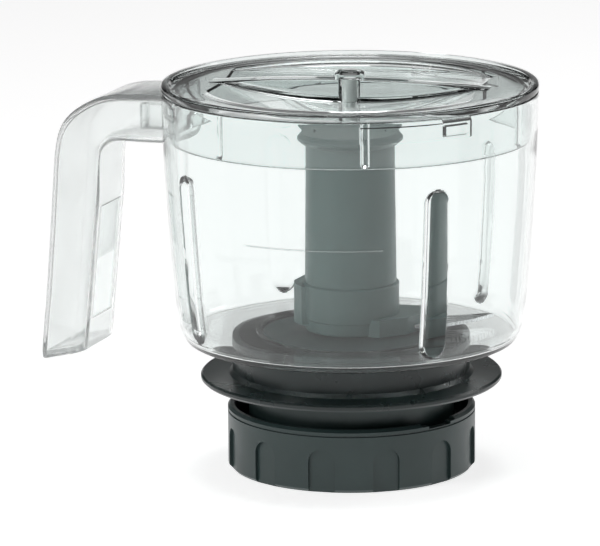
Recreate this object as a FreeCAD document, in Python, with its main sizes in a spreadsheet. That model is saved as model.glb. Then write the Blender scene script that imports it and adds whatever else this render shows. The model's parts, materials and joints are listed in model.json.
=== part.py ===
import FreeCAD, Part
import math
import os

import Sketcher

from FreeCAD import Placement, Rotation, Vector

os.makedirs("parts", exist_ok=True)
doc = FreeCAD.newDocument("FoodProcessor")

# ---------------------------------------------------------------- dimensions (mm, degrees)
SIZES = {
    "collar_radius": 53.1, "collar_height": 27.3, "collar_bore": 49.0, "collar_well": 50.0,
    "lip_bore": 44.5, "lip_bottom": 14.0, "lip_top": 17.0,
    "recess_depth": 1.6, "recess_count": 12,
    "neck_low": 44.0, "cover_bottom": 9.5, "cover_floor": 13.0, "cover_inside": 40.0,
    "retainer_radius": 46.8,
    "flange_radius": 64.5, "flange_bottom": 37.8, "flange_top": 40.8,
    "neck_high": 50.8, "neck_top": 55.6, "plate_bottom": 46.0,
    "crown_radius": 37.5, "crown_top": 58.6, "crown_seat": 57.0, "crown_neck": 34.0,
    "tower_radius": 12.5, "tower_bore": 8.0, "tower_top": 112.0,
    "bowl_bottom": 56.0, "bowl_top": 162.8, "bowl_rim": 80.0, "bowl_wall": 2.5,
    "bowl_floor": 58.6, "bowl_base": 72.8, "bead_radius": 6.0, "bead_inset": 0.6,
    "bead_bottom": 67.0, "bead_top": 127.0,
    "skirt_radius": 76.6, "skirt_bottom": 143.0,
    "lid_under": 163.1, "lid_plate": 165.0, "lid_rim_top": 166.2, "lid_radius": 80.1,
    "bar_width": 9.7, "bar_top": 167.6, "scoop_radius": 62.0,
    "boss_radius": 6.35, "boss_top": 171.2, "pin_radius": 3.3,
    "hub_radius": 19.6, "hub_top_radius": 18.9, "hub_top": 146.0, "hub_bottom": 59.6,
    "hub_flange": 22.4, "sleeve_radius": 20.7, "sleeve_top": 80.4, "sleeve_bottom": 65.0,
    "hub_bore": 14.5, "hub_roof": 118.0,
    "module": 1.25, "pressure": 20.0, "sun_teeth": 18, "planet_teeth": 18, "ring_teeth": 54,
    "gear_bottom": 18.0, "gear_top": 27.5, "planet_distance": 22.5,
    "shaft_radius": 5.0, "spindle_radius": 6.0, "handle_width": 40.0, "handle_azimuth": 161.0,
    "handle_wall": 2.4,
}
sheet = doc.addObject("Spreadsheet::Sheet", "Dims")
for row, (alias, number) in enumerate(SIZES.items(), start=1):
    sheet.set("A%d" % row, alias)
    sheet.set("B%d" % row, str(number))
    sheet.setAlias("B%d" % row, alias)
doc.recompute()


# A coordinate is a plain number, the name of a dimension, or (name, offset).
def value(coordinate):
    if isinstance(coordinate, tuple):
        return SIZES[coordinate[0]] + coordinate[1]
    if isinstance(coordinate, str):
        return SIZES[coordinate]
    return coordinate


def formula(coordinate):
    if isinstance(coordinate, tuple):
        return "Dims.%s + (%r)" % coordinate
    if isinstance(coordinate, str):
        return "Dims.%s" % coordinate
    return None


def bind(obj, prop, coordinate):
    text = formula(coordinate)
    if text:
        obj.setExpression(prop, text)


def plane_of(body, role):
    for feature in body.Origin.OriginFeatures:
        if feature.Role == role:
            return feature
    raise ValueError(role)


def outline(body, name, points, role="XZ_Plane"):
    """Closed straight-sided sketch whose corners are held by the named dimensions."""
    sketch = body.newObject("Sketcher::SketchObject", name)
    sketch.AttachmentSupport = [(plane_of(body, role), "")]
    sketch.MapMode = "FlatFace"
    corners = [Vector(value(a), value(b), 0) for a, b in points]
    count = len(corners)
    for i in range(count):
        sketch.addGeometry(Part.LineSegment(corners[i], corners[(i + 1) % count]), False)
    for i in range(count):
        sketch.addConstraint(Sketcher.Constraint("Coincident", i, 2, (i + 1) % count, 1))
    for i, (a, b) in enumerate(points):
        for kind, coordinate in (("DistanceX", a), ("DistanceY", b)):
            index = sketch.addConstraint(Sketcher.Constraint(kind, -1, 1, i, 1, value(coordinate)))
            if formula(coordinate):
                sketch.setExpression("Constraints[%d]" % index, formula(coordinate))
    return sketch


def turned(name, points):
    """Body turned about the vertical axis from a half-section (radius, height)."""
    body = doc.addObject("PartDesign::Body", name)
    sketch = outline(body, name + "_section", points)
    turn = body.newObject("PartDesign::Revolution", name + "_turn")
    turn.Profile = sketch
    turn.ReferenceAxis = (sketch, ["V_Axis"])
    turn.Angle = 360.0
    body.Tip = turn
    doc.recompute()
    return body


def at_angle(degrees, radius=0.0, height=0.0):
    a = math.radians(degrees)
    return Vector(radius * math.cos(a), radius * math.sin(a), height)


def cylinder(name, radius, bottom, top, centre=(0.0, 0.0)):
    obj = doc.addObject("Part::Cylinder", name)
    obj.Radius = value(radius)
    bind(obj, "Radius", radius)
    obj.Height = value(top) - value(bottom)
    obj.Placement = Placement(Vector(centre[0], centre[1], value(bottom)), Rotation())
    return obj


def box(name, size, corner, turn=0.0):
    obj = doc.addObject("Part::Box", name)
    obj.Length, obj.Width, obj.Height = size
    spin = Rotation(Vector(0, 0, 1), turn)
    obj.Placement = Placement(spin.multVec(Vector(*corner)), spin)
    return obj


def cut(name, base, tool):
    obj = doc.addObject("Part::Cut", name)
    obj.Base, obj.Tool = base, tool
    doc.recompute()
    return obj


def fuse(name, pieces):
    obj = doc.addObject("Part::MultiFuse", name)
    obj.Shapes = pieces
    obj.Refine = True
    doc.recompute()
    return obj


def common(name, pieces):
    obj = doc.addObject("Part::MultiCommon", name)
    obj.Shapes = pieces
    doc.recompute()
    return obj


def group(name, pieces):
    obj = doc.addObject("Part::Compound", name)
    obj.Links = pieces
    doc.recompute()
    return obj


def rounded(name, base, radius, chosen):
    """Round the edges of base whose midpoint passes the test."""
    obj = doc.addObject("Part::Fillet", name)
    obj.Base = base
    edges = []
    for index, edge in enumerate(base.Shape.Edges, start=1):
        middle = edge.valueAt((edge.FirstParameter + edge.LastParameter) / 2.0)
        if chosen(edge, middle):
            edges.append((index, radius, radius))
    obj.Edges = edges
    doc.recompute()
    return obj


def solid_of(name, shape):
    obj = doc.addObject("Part::Feature", name)
    obj.Shape = shape
    return obj


NODES = {}


def node(name, obj):
    obj.Label = name
    NODES[name] = obj


def prism(name, wire_points, bottom, top):
    points = [Vector(x, y, value(bottom)) for x, y in wire_points]
    polygon = doc.addObject("Part::Feature", name + "_outline")
    polygon.Shape = Part.makePolygon(points + [points[0]])
    pad = doc.addObject("Part::Extrusion", name)
    pad.Base = polygon
    pad.Dir = Vector(0, 0, 1)
    pad.LengthFwd = value(top) - value(bottom)
    pad.Solid = True
    doc.recompute()
    return pad


# ---------------------------------------------------------------- bowl
BEADS = (-62.0, 37.0, 115.0, 208.0)          # azimuths of the four flow beads, from +X


def bowl_radius(height):
    """Outside radius of the bowl wall, slightly bellied towards the bottom."""
    stations = ((56.0, 71.4), (59.5, 73.2), (77.0, 75.4), (98.0, 77.0), (116.0, 78.2),
                (136.0, 79.3), (150.0, 79.8), (162.8, 80.0))
    for (z0, r0), (z1, r1) in zip(stations, stations[1:]):
        if height <= z1:
            return r0 + (r1 - r0) * (height - z0) / (z1 - z0)
    return 80.0


def wall_section(inset, bottom):
    levels = (59.5, 68.0, 77.0, 87.0, 98.0, 107.0, 116.0, 126.0, 136.0, 143.0, 150.0)
    section = [(bowl_radius(z) - inset, z) for z in levels if z > bottom + 0.5]
    return section


# The outer skin: floor corner is relieved by two short cones.
outer = [(0.0, "bowl_bottom"), (70.2, "bowl_bottom"), (72.3, 57.0), ("bowl_base", 58.2)]
outer += wall_section(0.0, 58.5)
outer += [("bowl_rim", 158.0), ("bowl_rim", "bowl_top"), (0.0, "bowl_top")]
bowl_outer = turned("bowl_outer", outer)

SKIN = SIZES["bowl_wall"]
inner = [(0.0, "bowl_floor"), (67.0, "bowl_floor"), (69.4, 59.6), (70.9, 61.6)]
inner += wall_section(SKIN, 63.0)
inner += [(77.5, 158.0), (77.5, ("bowl_top", 1.0)), (0.0, ("bowl_top", 1.0))]
bowl_inner = turned("bowl_inner", inner)


def flow_bead(name, azimuth):
    """Round-ended bead on the inside of the wall, leaning with it."""
    low = SIZES["bead_bottom"]
    high = SIZES["bead_top"]
    inset = SIZES["bead_inset"]
    start = at_angle(azimuth, bowl_radius(low) - inset, low)
    end = at_angle(azimuth, bowl_radius(high) - inset, high)
    lean = end.sub(start)
    bar = doc.addObject("Part::Cylinder", name + "_bar")
    bar.Height = lean.Length
    bar.Placement = Placement(start, Rotation(Vector(0, 0, 1), lean))
    bind(bar, "Radius", "bead_radius")
    ends = []
    for tag, point in (("low", start), ("high", end)):
        ball = doc.addObject("Part::Sphere", name + "_" + tag)
        bind(ball, "Radius", "bead_radius")
        ball.Placement = Placement(point, Rotation())
        ends.append(ball)
    return fuse(name, [bar] + ends)


beads = fuse("beads", [flow_bead("bead_%d" % i, a) for i, a in enumerate(BEADS)])
beads_inside = common("beads_inside", [beads, bowl_outer])
bowl_fluted = fuse("bowl_beaded", [cut("bowl_shell", bowl_outer, bowl_inner), beads_inside])

# Hole and counterbore for the crown, and the low ring on the floor round it.
floor_hole = turned("floor_hole",
                    [(0.0, 50.0), (("crown_neck", 0.2), 50.0), (("crown_neck", 0.2), "crown_seat"),
                     (("crown_radius", 0.2), "crown_seat"), (("crown_radius", 0.2), 64.0),
                     (0.0, 64.0)])
floor_ring = turned("floor_ring", [(39.4, 58.4), (40.6, 58.4), (40.4, 59.2), (39.6, 59.2)])
bowl_holed = fuse("bowl_ringed", [cut("bowl_holed", bowl_fluted, floor_hole), floor_ring])

# Bayonet slots for the lid: straight down, then round.
LUGS = (-56.0, 64.0, 196.0)


def sector(name, r0, r1, z0, z1, a0, a1):
    """Part of a ring between two azimuths."""
    body = turned(name + "_ring", [(r0, z0), (r1, z0), (r1, z1), (r0, z1)])
    body_turn = body.Tip
    body_turn.Angle = a1 - a0
    body.Placement = Placement(Vector(), Rotation(Vector(0, 0, 1), a0))
    doc.recompute()
    return body


slots = []
for i, a in enumerate(LUGS):
    slots.append(sector("slot_in_%d" % i, 76.0, 78.9, 154.2, 164.0, a - 5.0, a + 5.0))
    slots.append(sector("slot_round_%d" % i, 76.0, 78.9, 154.2, 160.6, a - 31.0, a + 5.0))
bowl_slotted = cut("bowl_slotted", bowl_holed, fuse("slots", slots))

# Tongue that the handle's hollow arm slides over.
HANDLE = SIZES["handle_azimuth"]
tongue = box("tongue", (13.0, 18.0, 11.0), (78.8, -9.0, 142.5), HANDLE)
bowl = fuse("bowl", [bowl_slotted, tongue])
node("bowl", bowl)

# ---------------------------------------------------------------- handle
GRIP = ((78.0, 137.6), (101.0, 137.6), (104.6, 136.6), (107.2, 134.0), (108.6, 130.0), (109.2, 110.0),
        (115.6, 49.0), (117.0, 46.2), (119.6, 44.6), (134.9, 40.2),
        (136.4, 42.5), (133.4, 70.0), (131.2, 96.0), (129.6, 115.0), (128.4, 135.0), (125.6, 143.4),
        (121.5, 148.6), (115.4, 153.2), (108.0, 156.6), (100.0, 158.4), (78.0, 159.4))
CORE = ((77.0, 140.2), (101.6, 140.0), (106.4, 138.6), (109.8, 135.2), (111.1, 130.4), (111.6, 110.2),
        (118.0, 49.8), (119.2, 48.0), (121.0, 46.8), (133.8, 43.2),
        (131.0, 69.8), (128.8, 95.8), (127.2, 114.8), (126.0, 134.6), (123.4, 142.2), (119.8, 146.8),
        (114.2, 151.0), (107.2, 154.2), (99.6, 155.9), (77.0, 156.9))


def side_plate(name, points, half_width):
    """Plate cut to a side view (distance out, height), standing across the handle's plane."""
    spin = Rotation(Vector(0, 0, 1), HANDLE)
    corners = [spin.multVec(Vector(d, -half_width, z)) for d, z in points]
    rim = doc.addObject("Part::Feature", name + "_side")
    rim.Shape = Part.makePolygon(corners + [corners[0]])
    pad = doc.addObject("Part::Extrusion", name)
    pad.Base = rim
    pad.Dir = spin.multVec(Vector(0, 1, 0))
    pad.LengthFwd = 2.0 * half_width
    pad.Solid = True
    doc.recompute()
    return pad


HALF = SIZES["handle_width"] / 2.0
grip_block = side_plate("grip_block", GRIP, HALF)
grip_local = Rotation(Vector(0, 0, 1), -HANDLE)


def on_grip_side(edge, middle):
    place = grip_local.multVec(middle)
    return abs(abs(place.y) - HALF) < 0.01 and place.x > 79.0


grip_round = rounded("grip_round", grip_block, 2.0, on_grip_side)
core = side_plate("core", CORE, HALF - SIZES["handle_wall"])
bowl_envelope = cylinder("bowl_envelope", 80.05, 100.0, 175.0)
handle_hollow = cut("handle_hollow", grip_round, core)
# Opening in the finger side, closed by the cover strip.
STRIP = ((106.0, 108.0), (111.9, 108.0), (117.1, 58.0), (110.0, 58.0))
strip_room = side_plate("strip_room", STRIP, 11.2)
handle = cut("handle", cut("handle_open", handle_hollow, strip_room), bowl_envelope)
node("handle", handle)

COVER = ((109.6, 107.7), (111.6, 107.7), (116.8, 58.3), (114.8, 58.3))
handle_cover = side_plate("handle_cover", COVER, 11.0)
node("handle_cover", handle_cover)

# ---------------------------------------------------------------- base: housing, crown, cover
housing_turn = turned("housing_turn", [
        (9.0, 44.0), (17.0, 44.0), (17.0, "plate_bottom"), (47.0, "plate_bottom"), (47.0, "flange_top"),
        (39.7, "flange_top"), (36.6, "flange_top"), (36.6, 28.1), (39.7, 28.1), (39.7, "flange_bottom"),
        (("flange_radius", -1.0), "flange_bottom"), ("flange_radius", ("flange_bottom", 1.0)),
        ("flange_radius", ("flange_top", -0.8)), (("flange_radius", -0.8), "flange_top"),
        (("neck_high", 1.6), "flange_top"), ("neck_high", ("flange_top", 1.6)), ("neck_high", "neck_top"),
        (48.2, "neck_top"), (48.2, ("neck_top", -0.8)), (40.0, ("neck_top", -0.8)), (40.0, "neck_top"),
        (9.0, "neck_top")])

SCREW_RING = 25.0
CORNERS = (45.0, 135.0, 225.0, 315.0)


def spot(azimuth, radius):
    point = at_angle(azimuth, radius)
    return (point.x, point.y)


housing_tools = []
for i, a in enumerate(CORNERS):
    housing_tools.append(cylinder("pocket_%d" % i, 4.1, 49.8, 60.0, spot(a, SCREW_RING)))
    housing_tools.append(cylinder("shank_hole_%d" % i, 1.5, 40.0, 55.0, spot(a, SCREW_RING)))
housing_bored = cut("housing_bored", housing_turn, fuse("housing_tools", housing_tools))
posts = [cylinder("post_%d" % i, 3.4, "flange_bottom", "plate_bottom", spot(a, 42.2))
         for i, a in enumerate(CORNERS)]
housing_posted = fuse("housing_posted", [housing_bored] + posts)
post_holes = [cylinder("post_hole_%d" % i, 1.2, 30.0, 45.0, spot(a, 42.2)) for i, a in enumerate(CORNERS)]
gear_housing = cut("gear_housing", housing_posted, fuse("post_holes", post_holes))
node("gear_housing", gear_housing)

gasket = turned("floor_gasket", [(40.2, ("neck_top", -0.8)), (48.0, ("neck_top", -0.8)),
                                 (48.0, "bowl_bottom"), (40.2, "bowl_bottom")])
node("floor_gasket", gasket)

tower_turn = turned("tower_turn", [
    ("tower_bore", "neck_top"), ("crown_neck", "neck_top"), ("crown_neck", "crown_seat"),
    ("crown_radius", "crown_seat"), ("crown_radius", ("crown_top", -0.5)),
    (("crown_radius", -0.5), "crown_top"),
    (("tower_radius", 1.0), "crown_top"), ("tower_radius", ("crown_top", 1.5)),
    ("tower_radius", ("tower_top", -1.0)),
    (("tower_radius", -1.0), "tower_top"), ("tower_bore", "tower_top")])
feet = [cylinder("foot_%d" % i, 4.0, 50.0, 56.5, spot(a, SCREW_RING)) for i, a in enumerate(CORNERS)]
foot_holes = [cylinder("foot_hole_%d" % i, 1.5, 49.0, 57.5, spot(a, SCREW_RING))
              for i, a in enumerate(CORNERS)]
floor_crown = cut("floor_crown", fuse("crown_feet", [tower_turn] + feet), fuse("foot_holes", foot_holes))
node("floor_crown", floor_crown)


def screw(name, shank, head, head_height, under_head, tip, place):
    """Cross-recess screw pointing up; the head sits below under_head."""
    head_obj = cylinder(name + "_head", head, under_head - head_height, under_head, place)
    shank_obj = cylinder(name + "_shank", shank, under_head, tip, place)
    whole = fuse(name + "_blank", [head_obj, shank_obj])
    arms = []
    for k in range(2):
        arm = doc.addObject("Part::Box", "%s_arm_%d" % (name, k))
        arm.Length, arm.Width, arm.Height = (2.6, 0.7, 1.0) if k == 0 else (0.7, 2.6, 1.0)
        arm.Placement = Placement(Vector(place[0] - float(arm.Length) / 2.0,
                                         place[1] - float(arm.Width) / 2.0,
                                         under_head - head_height - 0.1), Rotation())
        arms.append(arm)
    return cut(name, whole, fuse(name + "_cross", arms))


crown_screws = group("crown_screws",
                     [screw("crown_screw_%d" % i, 1.5, 2.8, 1.8, 46.0, 57.2, spot(a, SCREW_RING))
                                      for i, a in enumerate(CORNERS)])
node("crown_screws", crown_screws)

# Lower cover: neck, floor and the flange that holds the collar on.
cover_turn = turned("cover_turn", [
    (8.0, "cover_bottom"), ("retainer_radius", "cover_bottom"), ("retainer_radius", "cover_floor"),
    ("neck_low", "cover_floor"), ("neck_low", "flange_bottom"), ("cover_inside", "flange_bottom"),
    ("cover_inside", "gear_bottom"), (37.5, "gear_bottom"), (37.5, "cover_floor"), (12.0, "cover_floor"),
    (12.0, 17.0), (8.0, 17.0)])
cover_post = [cylinder("cover_post_%d" % i, 3.4, 12.0, "flange_bottom", spot(a, 42.2))
              for i, a in enumerate(CORNERS)]
cover_ears = common("cover_ears", [fuse("cover_posts", cover_post),
                                   turned("neck_limit", [(40.0, 5.0), ("neck_low", 5.0), ("neck_low", 45.0),
                                                         (40.0, 45.0)])])
cover_blank = fuse("cover_blank", [cover_turn, cover_ears])
cover_holes = [cylinder("cover_hole_%d" % i, 1.3, 5.0, 45.0, spot(a, 42.2)) for i, a in enumerate(CORNERS)]
cover_sinks = [cylinder("cover_sink_%d" % i, 2.6, 5.0, 11.6, spot(a, 42.2)) for i, a in enumerate(CORNERS)]
cover_bored = cut("cover_bored", cover_blank, fuse("cover_hole_set", cover_holes + cover_sinks))
cover_stop = sector("cover_stop", 43.5, 47.0, 17.6, 21.0, 150.0, 158.0)
lower_cover = fuse("lower_cover", [cover_bored, cover_stop])
node("lower_cover", lower_cover)
cover_screws = group("cover_screws", [screw("cover_screw_%d" % i, 1.2, 2.5, 1.8, 11.6, 44.5, spot(a, 42.2))
                                      for i, a in enumerate(CORNERS)])
node("cover_screws", cover_screws)

# ---------------------------------------------------------------- lock collar
collar_turn = turned("collar_turn", [
    ("collar_bore", 0.0), (("collar_radius", -1.4), 0.0), ("collar_radius", 1.4),
    ("collar_radius", 24.1), (("collar_radius", -0.6), 24.3), (("collar_radius", -0.6), 24.7),
    ("collar_radius", 24.9), ("collar_radius", ("collar_height", -1.2)),
    (("collar_radius", -1.2), "collar_height"),
    (("collar_well", 0.5), "collar_height"), ("collar_well", ("collar_height", -0.6)),
    ("collar_well", "lip_top"),
    ("lip_bore", "lip_top"), ("lip_bore", "lip_bottom"), ("collar_bore", "lip_bottom")])
recesses = []
for k in range(SIZES["recess_count"]):
    a = -90.0 - 14.0 + 30.0 * k
    half = math.radians(6.2) * 53.0
    spin = Rotation(Vector(0, 0, 1), a)
    slot = box("recess_box_%d" % k, (6.0, 2.0 * half, 16.2), (53.1 - SIZES["recess_depth"], -half, -3.2), a)
    cap = doc.addObject("Part::Cylinder", "recess_cap_%d" % k)
    cap.Radius = half
    cap.Height = 6.0
    cap.Placement = Placement(spin.multVec(Vector(53.1 - SIZES["recess_depth"], 0, 13.0)),
                              spin.multiply(Rotation(Vector(0, 1, 0), 90)))
    recesses += [slot, cap]
collar_cut = cut("collar_cut", collar_turn, fuse("recesses", recesses))
lugs = [sector("collar_lug_%d" % k, 47.2, 49.6, 6.0, 8.8, 90.0 * k + 30.0,
               90.0 * k + 50.0) for k in range(4)]
stop_low = sector("stop_low", 45.4, 50.6, 17.0, 21.0, 143.6, 149.4)
stop_high = sector("stop_high", 45.4, 50.6, 17.0, 21.0, 188.6, 193.6)
notch = fuse("notch", [sector("notch_low", 47.0, 56.0, 25.1, 30.0, -52.0, -38.0),
                       sector("notch_high", 47.0, 56.0, 26.2, 30.0, -56.0, -34.0)])
lock_collar = fuse("lock_collar", [cut("collar_notched", collar_cut, notch), stop_low, stop_high] + lugs)
node("lock_collar", lock_collar)

# ---------------------------------------------------------------- gears
MODULE = SIZES["module"]
PRESSURE = math.radians(SIZES["pressure"])


def flank(base, radius):
    """Polar angle of the involute of a base circle at a radius."""
    if radius <= base:
        return 0.0
    t = math.sqrt((radius / base) ** 2 - 1.0)
    return t - math.atan(t)


def gear_points(teeth, root, tip, slack, phase, internal=False):
    """Outline of a spur gear; slack is taken off (or, inside a ring, added to) each flank."""
    pitch = MODULE * teeth / 2.0
    base = pitch * math.cos(PRESSURE)
    quarter = math.pi / (2.0 * teeth)
    points = []
    for k in range(teeth):
        centre = phase + 2.0 * math.pi * k / teeth
        side = []
        low, high = (root, tip) if root < tip else (tip, root)
        for j in range(7):
            r = max(low, base) + (high - max(low, base)) * j / 6.0
            if internal:
                spread = quarter - flank(base, pitch) + flank(base, r) - slack / r
            else:
                spread = quarter + flank(base, pitch) - flank(base, r) - slack / r
            side.append((r, spread))
        if not internal and base > low:
            side.insert(0, (low, side[0][1]))
        if internal:
            side = side[::-1]
            # side runs from the root circle (outside) in to the tooth tip
        for r, spread in side:
            points.append((r * math.cos(centre - spread), r * math.sin(centre - spread)))
        for r, spread in reversed(side):
            points.append((r * math.cos(centre + spread), r * math.sin(centre + spread)))
    return points


SLACK = 0.07
SUN_PITCH = MODULE * SIZES["sun_teeth"] / 2.0
RING_PITCH = MODULE * SIZES["ring_teeth"] / 2.0
sun_wheel = prism("sun_wheel",
                  gear_points(SIZES["sun_teeth"], SUN_PITCH - 1.5, SUN_PITCH + 1.15, SLACK, 0.0),
                  "gear_bottom", "gear_top")
sun_shaft = turned("sun_shaft", [(0.0, 4.2), (3.0, 4.2), (3.0, 8.8), ("shaft_radius", 8.8),
                                 ("shaft_radius", ("gear_bottom", 0.5)), (3.5, ("gear_bottom", 0.5)),
                                 (3.5, 31.0), (0.0, 31.0)])
sun_gear = fuse("sun_gear", [sun_wheel, sun_shaft])
node("sun_gear", sun_gear)

input_bush = turned("input_bush", [(("shaft_radius", 0.05), 9.2), (9.6, 9.2), (9.6, "cover_bottom"),
                                   (8.0, "cover_bottom"), (8.0, 17.0), (("shaft_radius", 0.05), 17.0)])
node("input_bush", input_bush)

dog_points = []
for k in range(12):
    for edge, r in ((-0.32, 12.6 if k % 2 == 0 else 9.4), (0.32, 12.6 if k % 2 == 0 else 9.4)):
        a = math.radians(30.0 * (k + edge))
        dog_points.append((r * math.cos(a), r * math.sin(a)))
dog = prism("dog", dog_points, 1.2, 8.7)
dog_bore = cylinder("dog_bore", 3.0, 0.0, 10.0)
dog_sink = cylinder("dog_sink", 5.4, 0.0, 4.2)
drive_coupling = cut("drive_coupling", dog, fuse("dog_room", [dog_bore, dog_sink]))
node("drive_coupling", drive_coupling)

nut_points = [(4.9 * math.cos(math.radians(60 * k)), 4.9 * math.sin(math.radians(60 * k))) for k in range(6)]
node("coupling_nut", prism("coupling_nut", nut_points, 1.4, 4.2))

# Ring gear: teeth inside a plain rim.
ring_rim = cylinder("ring_rim", "cover_inside", "gear_bottom", 28.1)
ring_room = prism("ring_room",
                  gear_points(SIZES["ring_teeth"], RING_PITCH + 1.5, RING_PITCH - 1.1, SLACK, 0.0, True),
                  17.0, 29.0)
ring_gear = cut("ring_gear", ring_rim, ring_room)
node("ring_gear", ring_gear)

PLANETS = (0.0, 120.0, 240.0)
DISTANCE = SIZES["planet_distance"]
for i, a in enumerate(PLANETS, start=1):
    half_tooth = math.pi / SIZES["planet_teeth"]
    wheel = prism("planet_wheel_%d" % i,
                  gear_points(SIZES["planet_teeth"], SUN_PITCH - 1.5, SUN_PITCH + 1.15, SLACK,
                              math.radians(a) + half_tooth), "gear_bottom", "gear_top")
    hole = cylinder("planet_hole_%d" % i, 3.05, 10.0, 30.0)
    wheel_cut = cut("planet_bored_%d" % i, wheel, hole)
    centre = at_angle(a, DISTANCE)
    wheel_cut.Placement = Placement(centre, Rotation())
    doc.recompute()
    node("planet_gear_%d" % i, wheel_cut)

plate = turned("carrier_plate", [(3.55, 28.2), (30.0, 28.2), (30.0, 32.4), ("spindle_radius", 32.4),
                                 ("spindle_radius", 31.6), (3.55, 31.6)])
plate_holes = [cylinder("plate_hole_%d" % i, 3.0, 25.0, 36.0, spot(a, DISTANCE))
               for i, a in enumerate(PLANETS)]
planet_carrier = cut("planet_carrier", plate, fuse("plate_hole_set", plate_holes))
node("planet_carrier", planet_carrier)

pins = []
for i, a in enumerate(PLANETS):
    pin = turned("pin_%d" % i, [(0.0, 16.0), (2.4, 16.0), (2.4, 16.6), (2.0, 16.6), (2.0, 17.2), (3.0, 17.2),
                                (3.0, 32.4), (0.0, 32.4)])
    pin.Placement = Placement(at_angle(a, DISTANCE), Rotation())
    pins.append(pin)
node("planet_pins", group("planet_pins", pins))
clips = []
for i, a in enumerate(PLANETS):
    clip = turned("clip_%d" % i, [(2.0, 16.6), (4.2, 16.6), (4.2, 17.2), (2.0, 17.2)])
    clip.Tip.Angle = 300.0
    clip.Placement = Placement(at_angle(a, DISTANCE), Rotation(Vector(0, 0, 1), a + 30.0))
    clips.append(clip)
doc.recompute()
node("pin_clips", group("pin_clips", clips))

# Output spindle: pressed through the carrier, up the tower, six-sided drive at the top.
spindle_turn = turned("spindle_turn", [(0.0, 31.6), ("spindle_radius", 31.6), ("spindle_radius", 60.0),
                                       ("shaft_radius", 61.0), ("shaft_radius", 114.0), (0.0, 114.0)])
hex_points = [(4.9 * math.cos(math.radians(60 * k)), 4.9 * math.sin(math.radians(60 * k))) for k in range(6)]
output_spindle = fuse("output_spindle", [spindle_turn, prism("spindle_hex", hex_points, 113.0, 128.0)])
node("output_spindle", output_spindle)

lower_bush = turned("lower_bush", [(("spindle_radius", 0.05), 44.0), (9.0, 44.0), (9.0, 51.0),
                                   (("spindle_radius", 0.05), 51.0)])
node("lower_bush", lower_bush)
shaft_seal = turned("shaft_seal",
                    [(("spindle_radius", 0.3), 51.6), (9.0, 51.6), (9.0, "neck_top"), (8.2, "neck_top"),
                     (8.2, 52.6), (("spindle_radius", 1.2), 52.6), (("spindle_radius", 0.3), 54.0)])
node("shaft_seal", shaft_seal)
tower_bush = turned("tower_bush",
                    [(("shaft_radius", 0.05), 98.0), ("tower_bore", 98.0), ("tower_bore", "tower_top"),
                                   (("shaft_radius", 0.05), "tower_top")])
node("tower_bush", tower_bush)

# ---------------------------------------------------------------- blade hub
hub_turn = turned("hub_turn", [
    ("hub_bore", "hub_bottom"), (19.4, "hub_bottom"), (20.0, 60.4), (20.2, "sleeve_bottom"),
    ("sleeve_radius", ("sleeve_bottom", 0.5)), ("sleeve_radius", ("sleeve_top", -0.6)),
    (("sleeve_radius", -0.6), "sleeve_top"), ("hub_radius", "sleeve_top"), ("hub_top_radius", 140.6),
    (("hub_flange", -2.0), 141.2), ("hub_flange", 143.0), ("hub_flange", 144.2),
    (("hub_flange", -1.8), "hub_top"),
    (15.5, "hub_top"), (15.5, 140.0), (6.5, 140.0), (6.5, "hub_roof"), ("hub_bore", "hub_roof")])

# Two short wings that carry the blades: the low one to the right, the high one swept round to the left.
WING_LOW = ((0.0, -16.0), (12.0, -20.2), (24.0, -14.0), (31.0, -4.0), (32.5, 4.0), (30.0, 9.5), (20.0, 12.0),
            (0.0, 12.0))
wing_low_blank = prism("wing_low_blank", WING_LOW, "hub_bottom", 67.2)
WING_HIGH = ((-17.0, -9.0), (-21.0, -8.0), (-24.2, -1.0), (-24.4, 5.0), (-20.0, 16.0), (-8.0, 25.0),
             (2.0, 26.0),
             (0.0, 10.0), (-10.0, 0.0))
wing_high_blank = prism("wing_high_blank", WING_HIGH, 62.5, 79.4)
wing_room = cylinder("wing_room", "hub_bore", 50.0, "hub_roof")
hub_blank = fuse("hub_blank", [hub_turn, wing_low_blank, wing_high_blank])
hub_bored = cut("hub_bored", hub_blank, wing_room)

LOW_BLADE = ((20.5, -10.0), (30.0, -9.5), (42.0, -6.0), (53.0, 1.5), (62.0, 12.0), (58.5, 12.8),
             (48.0, 10.0),
             (34.0, 7.5), (20.5, 7.0))
HIGH_BLADE = ((-9.0, 19.5), (-9.0, 30.0), (-5.0, 44.0), (3.0, 55.0), (12.5, 62.5), (12.6, 58.0), (9.0, 46.0),
              (6.5, 32.0), (6.0, 19.5))
low_blade = prism("low_blade_plate", LOW_BLADE, 61.2, 62.7)
high_blade = prism("high_blade_plate", HIGH_BLADE, 73.2, 74.7)
slots_for_blades = fuse("blade_slots", [prism("low_slot", LOW_BLADE, 61.2, 62.7),
                                        prism("high_slot", HIGH_BLADE, 73.2, 74.7)])
blade_hub = cut("blade_hub", hub_bored, slots_for_blades)
node("blade_hub", blade_hub)
node("lower_blade", low_blade)
node("upper_blade", high_blade)

insert_body = cylinder("insert_body", 6.5, "hub_roof", 139.0)
socket_points = [(5.1 * math.cos(math.radians(60 * k)),
                  5.1 * math.sin(math.radians(60 * k))) for k in range(6)]
drive_insert = cut("drive_insert", insert_body, prism("insert_socket", socket_points, 110.0, 130.0))
node("drive_insert", drive_insert)
hub_cap = turned("hub_cap", [(0.0, 140.0), (15.4, 140.0), (15.4, 145.2), (14.8, 145.6), (0.0, 145.6)])
node("hub_cap", hub_cap)

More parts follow.
